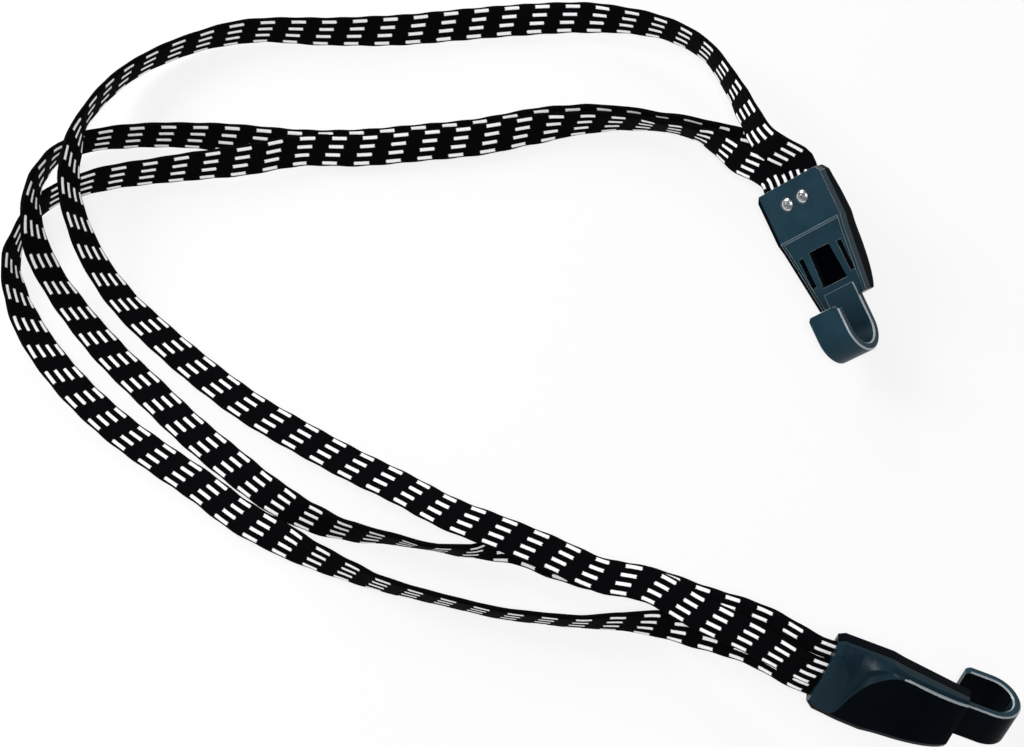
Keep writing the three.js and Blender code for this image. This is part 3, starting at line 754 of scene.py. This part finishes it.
def softened(node, radius, materials, body, zone=None, cuts=()):
    """A piece in the shape of a CAD node, with round edges of the second material, in place of it."""
    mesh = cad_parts[node].data.copy()
    bm = bmesh.new()
    bm.from_mesh(mesh)
    bmesh.ops.remove_doubles(bm, verts=bm.verts, dist=JOIN_DISTANCE)
    bmesh.ops.dissolve_limit(bm, angle_limit=FLAT_ANGLE, verts=bm.verts, edges=bm.edges)
    for spot, way in cuts:
        bmesh.ops.bisect_plane(bm, geom=[*bm.verts, *bm.edges, *bm.faces], plane_co=spot, plane_no=way)
    bm.to_mesh(mesh)
    bm.free()
    mesh.name = f"{node}_moulded"
    mesh.materials.clear()
    for material in materials:
        mesh.materials.append(material)
    for face in mesh.polygons:
        face.use_smooth = True
        face.material_index = zone(face.center, face.normal) if zone else PLAIN
    piece = link_object(f"{node}_moulded", mesh)
    edges = piece.modifiers.new("edge radius", "BEVEL")
    edges.width = radius
    edges.segments = EDGE_SEGMENTS
    # On the nylon pieces the second material is a painted highlight.
    edges.material = EDGE_HIGHLIGHT
    edges.limit_method = "ANGLE"
    edges.angle_limit = SHARP_ANGLE
    edges.use_clamp_overlap = True
    normals = piece.modifiers.new("even normals", "WEIGHTED_NORMAL")
    normals.keep_sharp = True
    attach(piece, body)
    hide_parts(node)
    return piece


def in_fitting(place, zone):
    """The zone rule for a face that is given in the shared frame."""
    into = place_of(place).inverted()
    return lambda spot, way: zone(into @ spot, into.to_3x3() @ way)


def past_line(line, spot):
    """How far a spot lies past a line across the fitting, and where the line's stretch beside it starts."""
    for (x0, y0), (x1, y1) in zip(line, line[1:]):
        if x0 <= spot.x < x1:
            return spot.y - y0 - (y1 - y0) * (spot.x - x0) / (x1 - x0), x0
    return None, None


def plate_zone(spot, way):
    """Material of a face of the hook plate, by its place and direction in the fitting: painted shade on the
    left margin and the strip's undersides, painted highlight on the strip's edges and the fold.
    """
    past, _ = past_line(PLATE_SIDE, spot)
    if past is not None and past < PLATE_MARGIN:
        return PAINTED_SHADE
    if spot.x > STRIP_START and STRIP_EDGE[0] < abs(spot.y) < STRIP_EDGE[1]:
        return EDGE_HIGHLIGHT
    if spot.x > STRIP_OUT and way.z < DOWN_TURN:
        return PAINTED_SHADE
    return FOLD_HIGHLIGHT if FOLD_STRETCH[0] < spot.x < FOLD_STRETCH[1] and spot.z > FOLD_HEIGHT else PLAIN


def cover_zone(spot, way):
    """Material of a face of the cover, by its place and direction in the fitting: the near-black pad past the
    ridge, the same near-black as painted shade on faces turned to the side, and painted highlight along the
    deep part of the ridge.
    """
    # Painted shade: faces turned to the side take the pad's near-black.
    if way.y > SIDE_TURN:
        return PAD_AND_SIDE_SHADE
    past, start = past_line(PAD_RIDGE, spot)
    if past is None:
        return PLAIN
    if past > RIDGE_REACH[1]:
        return PAD_AND_SIDE_SHADE
    return EDGE_HIGHLIGHT if start >= RIDGE_HIGHLIGHT_START and past > RIDGE_REACH[0] and spot.z < RIDGE_DEPTH else PLAIN


class STRAP_OT_stage(bpy.types.Operator):
    """Sets up the camera, the pale floor and the soft light"""

    bl_idname = "luggage_strap.stage"
    bl_label = "Stage"

    def execute(self, context):
        look = context.scene.strap_stage
        scene = context.scene
        scene.view_settings.view_transform = "Standard"
        camera = link_object("camera", bpy.data.cameras.new("camera"))
        camera.data.sensor_width = SENSOR_WIDTH
        camera.data.lens = look.lens
        back = Vector((0, -math.cos(look.elevation), math.sin(look.elevation)))
        camera.location = Vector(look.look_at) + back * look.distance
        camera.rotation_euler = (math.pi / 2 - look.elevation, 0, 0)
        scene.camera = camera

        bm = bmesh.new()
        bmesh.ops.create_grid(bm, x_segments=1, y_segments=1, size=FLOOR_HALF)
        mesh = bpy.data.meshes.new("floor")
        bm.to_mesh(mesh)
        bm.free()
        floor = link_object("floor", mesh)
        floor.location.z = FLOOR_HEIGHT
        mesh.materials.append(white_paper(look))

        for name, at, size, watts in LAMPS:
            data = bpy.data.lights.new(name, "AREA")
            data.size = size
            data.energy = watts
            lamp = link_object(name, data)
            lamp.location = at
            lamp.rotation_euler = (Vector(look.look_at) - Vector(at)).to_track_quat("-Z", "Y").to_euler()

        world = bpy.data.worlds.new("studio")
        world.use_nodes = True
        tree = world.node_tree
        seen = add_node(tree, "ShaderNodeLightPath").outputs["Is Camera Ray"]
        background = tree.nodes["Background"]
        background.inputs["Color"].default_value = WHITE
        feed(tree, background, Strength=ranged(tree, seen, (0.0, 1.0), WORLD_LIGHT))
        scene.world = world
        return {"FINISHED"}


class STRAP_OT_straps(bpy.types.Operator):
    """Weaves the three straps along their routes"""

    bl_idname = "luggage_strap.straps"
    bl_label = "Straps"

    def execute(self, context):
        look = context.scene.strap_weave
        material = woven_polyester(look)
        for name, route, seat_b, seat_a, length in STRAPS:
            line = even_line(strap_line(route, seat_b, seat_a), look.ring_step)
            mesh = strap_mesh(f"{name}_woven", line, look)
            mesh.materials.append(material)
            strap = link_object(f"{name}_woven", mesh)
            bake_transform(strap)
            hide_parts(f"{name}_sleeve", f"{name}_core")
        return {"FINISHED"}


class STRAP_OT_hook_plates(bpy.types.Operator):
    """Moulds the hook plate of each fitting"""

    bl_idname = "luggage_strap.hook_plates"
    bl_label = "Hook plates"

    def execute(self, context):
        look = context.scene.strap_fittings
        # Plain plate, painted highlight on edges, painted highlight on the fold, and painted shade.
        materials = (
            moulded_nylon("moulded_nylon_plate", look, look.plate, look.plate_pale, PLATE_FINISH),
            moulded_nylon("nylon_plate_edge_highlight", look, look.plate_edge_highlight, look.edge_highlight_pale, EDGE_HIGHLIGHT_FINISH),
            moulded_nylon("nylon_fold_highlight", look, look.fold_highlight, look.fold_highlight_pale, PLATE_FINISH),
            moulded_nylon("nylon_strip_painted_shade", look, look.pad, look.pad_pale, STRIP_FINISH),
        )
        for end, body, place in ENDS:
            into = place_of(place)
            across, along = (into.to_3x3() @ Vector(way) for way in ((0, 1, 0), (1, 0, 0)))
            margin = into @ Vector((0, PLATE_SIDE[0][1] + PLATE_MARGIN, 0))
            end_of_plate = into @ Vector((STRIP_OUT, 0, 0))
            hook = softened(
                f"{end}_hook",
                look.edge_radius,
                materials,
                body,
                in_fitting(place, plate_zone),
                ((margin, across), (end_of_plate, along)),
            )
        return {"FINISHED"}


class STRAP_OT_covers(bpy.types.Operator):
    """Moulds the grip cover of each fitting"""

    bl_idname = "luggage_strap.covers"
    bl_label = "Grip covers"

    def execute(self, context):
        look = context.scene.strap_fittings
        # Plain cover, painted highlight on edges, and the near-black pad, which is also painted shade on the
        # sides.
        materials = (
            moulded_nylon("moulded_nylon_cover", look, look.cover, look.cover_pale, COVER_FINISH),
            moulded_nylon("nylon_cover_edge_highlight", look, look.cover_edge_highlight, look.edge_highlight_pale, EDGE_HIGHLIGHT_FINISH),
            moulded_nylon("polished_nylon_pad_and_side_shade", look, look.pad, look.pad_pale, PAD_FINISH),
        )
        for end, body, place in ENDS:
            cover = softened(f"{end}_cover", look.edge_radius, materials, body, in_fitting(place, cover_zone))
        return {"FINISHED"}


class STRAP_OT_screws(bpy.types.Operator):
    """Puts the plated screws into each fitting"""

    bl_idname = "luggage_strap.screws"
    bl_label = "Screws"

    def execute(self, context):
        look = context.scene.strap_fittings
        material = zinc_plated_steel(look)
        for end, body, _ in ENDS:
            for number in (1, 2):
                screw = softened(f"{end}_screw_{number}", look.screw_radius, (material, material), body)
        return {"FINISHED"}


class STRAP_PT_panel(bpy.types.Panel):
    """Lists the pieces of the luggage strap"""

    bl_idname = "STRAP_PT_panel"
    bl_label = "Luggage strap"
    bl_space_type = "VIEW_3D"
    bl_region_type = "UI"
    bl_category = "Strap"

    def draw(self, context):
        for operator in OPERATORS:
            self.layout.operator(operator.bl_idname)
        for group in (context.scene.strap_weave, context.scene.strap_fittings, context.scene.strap_stage):
            for name in group.bl_rna.properties.keys():
                if name not in ("rna_type", "name"):
                    self.layout.prop(group, name)


OPERATORS = (STRAP_OT_stage, STRAP_OT_straps, STRAP_OT_hook_plates, STRAP_OT_covers, STRAP_OT_screws)
CLASSES = (StrapSettings, FittingSettings, StageSettings, *OPERATORS, STRAP_PT_panel)


def register():
    for cls in CLASSES:
        bpy.utils.register_class(cls)
    bpy.types.Scene.strap_weave = PointerProperty(type=StrapSettings)
    bpy.types.Scene.strap_fittings = PointerProperty(type=FittingSettings)
    bpy.types.Scene.strap_stage = PointerProperty(type=StageSettings)


def unregister():
    del bpy.types.Scene.strap_stage
    del bpy.types.Scene.strap_fittings
    del bpy.types.Scene.strap_weave
    for cls in reversed(CLASSES):
        bpy.utils.unregister_class(cls)


def main():
    register()
    bpy.ops.luggage_strap.stage()
    bpy.ops.luggage_strap.straps()
    bpy.ops.luggage_strap.hook_plates()
    bpy.ops.luggage_strap.covers()
    bpy.ops.luggage_strap.screws()


if __name__ == "__main__":
    main()
